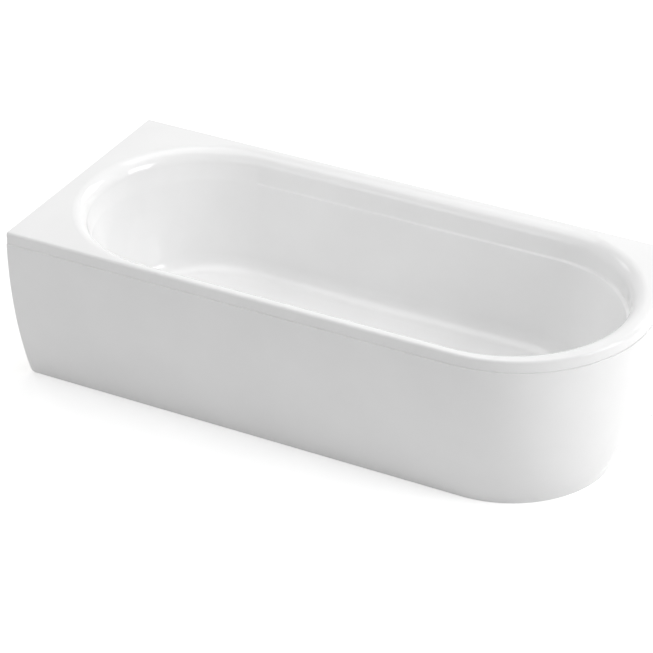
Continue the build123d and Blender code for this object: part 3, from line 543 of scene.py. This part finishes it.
def makeTub():
    piece = deckOutline()
    rimRing = addStadium()
    pickVerts(lambda vert: vert.co.z > rimZ - tiny)
    bpy.ops.mesh.fill(use_beauty=True)
    pickVerts(lambda vert: vert.index in rimRing)
    last = (rollStart, rimZ, tub["rightCentre"])
    for ring in basinRings():
        extrudeRing(last, ring)
        last = ring
    bpy.ops.mesh.edge_face_add()
    pickEdges(atCrease)
    bpy.ops.mesh.bevel(
        offset=tub["creaseRadius"], segments=tub["creaseSteps"], profile=roundProfile
    )
    bpy.ops.mesh.select_all(action="SELECT")
    bpy.ops.mesh.normals_make_consistent(inside=False)
    deck = max(openMesh().faces, key=lambda face: face.calc_center_median().z)
    if deck.normal.z < 0:
        bpy.ops.mesh.flip_normals()
    closePiece()
    print("tub sheet:", len(piece.data.vertices), "points")
    giveWall(piece, tub["shell"])
    # the waste sits in a recess, so a boss under the floor keeps the wall's thickness there
    seat = tub["floorHeight"] - tub["recessDepth"]
    bossBottom = tub["floorHeight"] - tub["shell"] - tub["recessDepth"]
    bossTop = seat - tub["bossOverlap"]
    cutAway(piece, cylinderCutter(tub["bossRadius"], bossBottom, bossTop, y=basinY), "UNION")
    cutAway(piece, cylinderCutter(tub["recessRadius"], seat, rimZ, y=basinY))
    cutAway(piece, cylinderCutter(tub["wasteRadius"], 0, rimZ, y=basinY))
    cutReach = tub["overflowCutReach"]
    hole = cylinderCutter(tub["overflowRadius"], -cutReach, cutReach)
    hole.rotation_euler = (-(pi / 2 - wallLean), 0, 0)
    hole.location = overflowPlace
    cutAway(piece, hole)
    smoothPiece(piece)
    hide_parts("tub_shell")
    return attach(piece, "bath")


tubSurface = makeTub()
print("tub surface made:", len(tubSurface.data.polygons), "faces")


# Apron: one curved moulded panel, carried round the corner

apron = {
    "wall": 0.004,
    "topFlange": 0.025,
    "footFlange": 0.018,
    "edgeRadius": 0.0028,
    "edgeSteps": 5,
    "seedSize": 0.01,
    "faceSteps": 28,
    "cornerRadius": 0.38,
    "cornerSteps": 60,
    "taper": 0.088,
    "heelRadius": 0.013,
    "heelMargin": 0.001,
    "heelMiddle": 0.07,
    "heelLength": 0.2,
    "heelRoundLength": 0.4,
}
apronLow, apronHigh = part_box("apron_panel")
apronTop = apronHigh.z
apronCurve = (apronTop ** 2 + apron["taper"] ** 2) / (2 * apron["taper"])
apronTurn = asin(apronTop / apronCurve)
cornerRadius = apron["cornerRadius"]
cornerPivot = Vector((apronHigh.x - cornerRadius, apronLow.y + cornerRadius, 0))


def apronEdgeInset(co):
    # how far a point on the apron's top lies inside its outer edge
    if co.x <= cornerPivot.x:
        return co.y - apronLow.y
    if co.y >= cornerPivot.y:
        return apronHigh.x - co.x
    return cornerRadius - (co.xy - cornerPivot.xy).length


def onOuterEdge(co):
    return co.z > apronTop - tiny and apronEdgeInset(co) < apron["topFlange"] / 2


def makeHeelCutter():
    # a block along the left foot edge, less the round that the heel keeps
    radius = apron["heelRadius"]
    margin = apron["heelMargin"]
    middleY = apronLow.y + apron["heelMiddle"]
    deselectAll()
    bpy.ops.mesh.primitive_cube_add(
        size=1, location=(apronLow.x + radius / 2 - margin, middleY, radius / 2 - margin)
    )
    heel = openPiece("heelCutter")
    side = radius + 2 * margin
    bpy.ops.transform.resize(value=(side, apron["heelLength"], side))
    closePiece()
    deselectAll()
    bpy.ops.mesh.primitive_cylinder_add(
        vertices=tub["roundSteps"],
        radius=radius,
        depth=apron["heelRoundLength"],
        location=(apronLow.x + radius, middleY, radius),
        rotation=(pi / 2, 0, 0),
    )
    cutAway(heel, bpy.context.active_object)
    return heel


def extrudeBy(x, y):
    bpy.ops.mesh.extrude_region_move(TRANSFORM_OT_translate={"value": (x, y, 0)})


def makeApron():
    # one point is spun into the section's arc, and the section is carried along the plan
    deselectAll()
    bpy.ops.mesh.primitive_plane_add(size=apron["seedSize"], location=(0, 0, 0))
    piece = openPiece("apronSurface")
    pickVerts(lambda vert: vert.co.x < 0 or vert.co.y < 0)
    bpy.ops.mesh.delete(type="VERT")
    bpy.ops.mesh.select_all(action="SELECT")
    start = Vector((apronLow.x, apronLow.y, apronTop))
    bpy.ops.transform.translate(value=start - openMesh().verts[:][0].co)
    bpy.ops.mesh.spin(
        steps=apron["faceSteps"],
        angle=-apronTurn,
        center=(start.x, start.y + apronCurve, start.z),
        axis=(1, 0, 0),
    )
    foot = min((vert.co.copy() for vert in openMesh().verts), key=lambda co: co.z)
    print("apron foot at", tuple(round(c, 4) for c in foot))
    pickVerts(lambda vert: (vert.co - foot).length < tiny)
    extrudeBy(0, apron["footFlange"])
    pickVerts(lambda vert: (vert.co - start).length < tiny)
    extrudeBy(0, apron["topFlange"])
    bpy.ops.mesh.select_all(action="SELECT")
    extrudeBy(cornerPivot.x - start.x, 0)
    bpy.ops.mesh.spin(
        steps=apron["cornerSteps"], angle=-pi / 2, center=cornerPivot, axis=(0, 0, 1)
    )
    pickVerts(lambda vert: abs(vert.co.y - cornerPivot.y) < tiny and vert.co.x > cornerPivot.x)
    extrudeBy(0, apronHigh.y - cornerPivot.y)
    bpy.ops.mesh.select_all(action="SELECT")
    bpy.ops.mesh.remove_doubles(threshold=tiny)
    bpy.ops.mesh.normals_make_consistent(inside=False)
    frontFace = min(openMesh().faces, key=lambda face: face.calc_center_median().y)
    if frontFace.normal.y > 0:
        bpy.ops.mesh.flip_normals()
    pickEdges(lambda a, b: onOuterEdge(a) and onOuterEdge(b))
    bpy.ops.mesh.bevel(
        offset=apron["edgeRadius"], segments=apron["edgeSteps"], profile=roundProfile
    )
    closePiece()
    giveWall(piece, apron["wall"])
    cutAway(piece, makeHeelCutter())
    smoothPiece(piece)
    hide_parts("apron_panel")
    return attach(piece, "bath")


apronSurface = makeApron()
print("apron made:", len(apronSurface.data.polygons), "faces")


# Finishes on the pieces

def dress(obj, material):
    # every slot of the piece is given the material, and a piece without slots gets one
    if not obj.material_slots:
        obj.data.materials.append(material)
    for slot in obj.material_slots:
        slot.material = material


for part in frame["record"]["subparts"]:
    node = part["node"]
    finish = part["material_slot"]
    if node.startswith("foot_stud"):
        material = thread
    elif finish == "softwood":
        low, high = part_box(node)
        material = softwoodAlongX if high.x - low.x > high.y - low.y else softwoodAlongY
    else:
        material = finishes[finish]
    dress(frame["nodes"][node], material)
print("materials made:", len(bpy.data.materials))


# Floor, light and camera

studio = {
    "floorSize": 40.0,
    "floorTints": ((0.3, "F0F0F0"), (0.7, "F4F4F4")),
    "floorBlotch": 900,
    "floorRoughness": 0.9,
    "floorGlow": 0.45,
    "worldStrength": 0.24,
    "whiteStrength": 1.0,
    "lampTarget": (0, 0, 0.3),
}
# the photograph's view, fitted to its edges, with the turn in degrees
photoView = {
    "place": (3.2732, -6.3525, 4.5366),
    "turn": (58.935, 0, 27.804),
    "lens": 170.2,
    "sensor": 36,
}
lamps = {
    "topSoftbox": {"place": (-0.5, 0.2, 4.2), "size": (4.5, 3.0), "power": 83},
    "rightSoftbox": {"place": (4.2, 0.4, 2.0), "size": (2.2, 2.2), "power": 86},
    "leftSoftbox": {"place": (-3.4, 0.9, 2.5), "size": (1.2, 1.2), "power": 9},
    "backSoftbox": {"place": (0.6, 4.2, 2.6), "size": (2.4, 1.6), "power": 66},
    "frontSoftbox": {"place": (-1.4, -5.0, 1.5), "size": (3.4, 2.0), "power": 31},
}


def whiteForView(tree, dim, bright):
    # the bright value for rays that show it to the camera, and the dim one for rays that light
    rays = addNode(tree, "ShaderNodeLightPath").outputs
    shown = rays["Is Camera Ray"]
    for kind in ("Is Glossy Ray", "Is Transmission Ray"):
        settings = {"operation": "ADD", "use_clamp": True}
        shown = addNode(tree, "ShaderNodeMath", settings, {0: shown, 1: rays[kind]}).outputs[0]
    return spread(tree, shown, dim, bright)


def makeWorld():
    world = bpy.data.worlds.new("soft studio")
    world.use_nodes = True
    bpy.context.scene.world = world
    tree = world.node_tree
    shader = tree.nodes["Background"]
    shader.inputs["Color"].default_value = (1, 1, 1, 1)
    strength = whiteForView(tree, studio["worldStrength"], studio["whiteStrength"])
    tree.links.new(strength, shader.inputs["Strength"])


def makeFloor():
    deselectAll()
    bpy.ops.mesh.primitive_plane_add(size=studio["floorSize"], location=(0, 0, 0))
    floor = bpy.context.active_object
    floor.name = "studioFloor"
    material, tree, shader, place = newMaterial(
        "pale studio floor", Roughness=studio["floorRoughness"]
    )
    tintBase(tree, shader, noise(tree, place, studio["floorBlotch"]), *studio["floorTints"])
    shader.inputs["Emission Color"].default_value = (1, 1, 1, 1)
    glow = whiteForView(tree, 0.0, studio["floorGlow"])
    tree.links.new(glow, shader.inputs["Emission Strength"])
    # clear from below, so that the underside can be looked at
    clear = addNode(tree, "ShaderNodeBsdfTransparent")
    below = addNode(tree, "ShaderNodeNewGeometry").outputs["Backfacing"]
    mix = addNode(tree, "ShaderNodeMixShader", links={"Fac": below})
    tree.links.new(shader.outputs["BSDF"], mix.inputs[1])
    tree.links.new(clear.outputs["BSDF"], mix.inputs[2])
    tree.links.new(mix.outputs["Shader"], tree.nodes["Material Output"].inputs["Surface"])
    dress(floor, material)


def areaLight(name, place, size, power):
    data = bpy.data.lights.new(name, "AREA")
    data.shape = "RECTANGLE"
    data.size, data.size_y = size
    data.energy = power
    light = bpy.data.objects.new(name, data)
    bpy.context.scene.collection.objects.link(light)
    light.location = place
    towards = Vector(studio["lampTarget"]) - Vector(place)
    light.rotation_euler = towards.to_track_quat("-Z", "Y").to_euler()


def makeCamera():
    data = bpy.data.cameras.new("photoCamera")
    data.sensor_width = photoView["sensor"]
    data.lens = photoView["lens"]
    camera = bpy.data.objects.new("photoCamera", data)
    camera.location = photoView["place"]
    camera.rotation_euler = [radians(angle) for angle in photoView["turn"]]
    bpy.context.scene.collection.objects.link(camera)
    bpy.context.scene.camera = camera


makeWorld()
makeFloor()
for name, lamp in lamps.items():
    areaLight(name, **lamp)
makeCamera()
bpy.context.scene.view_settings.view_transform = "Standard"
print("studio ready")
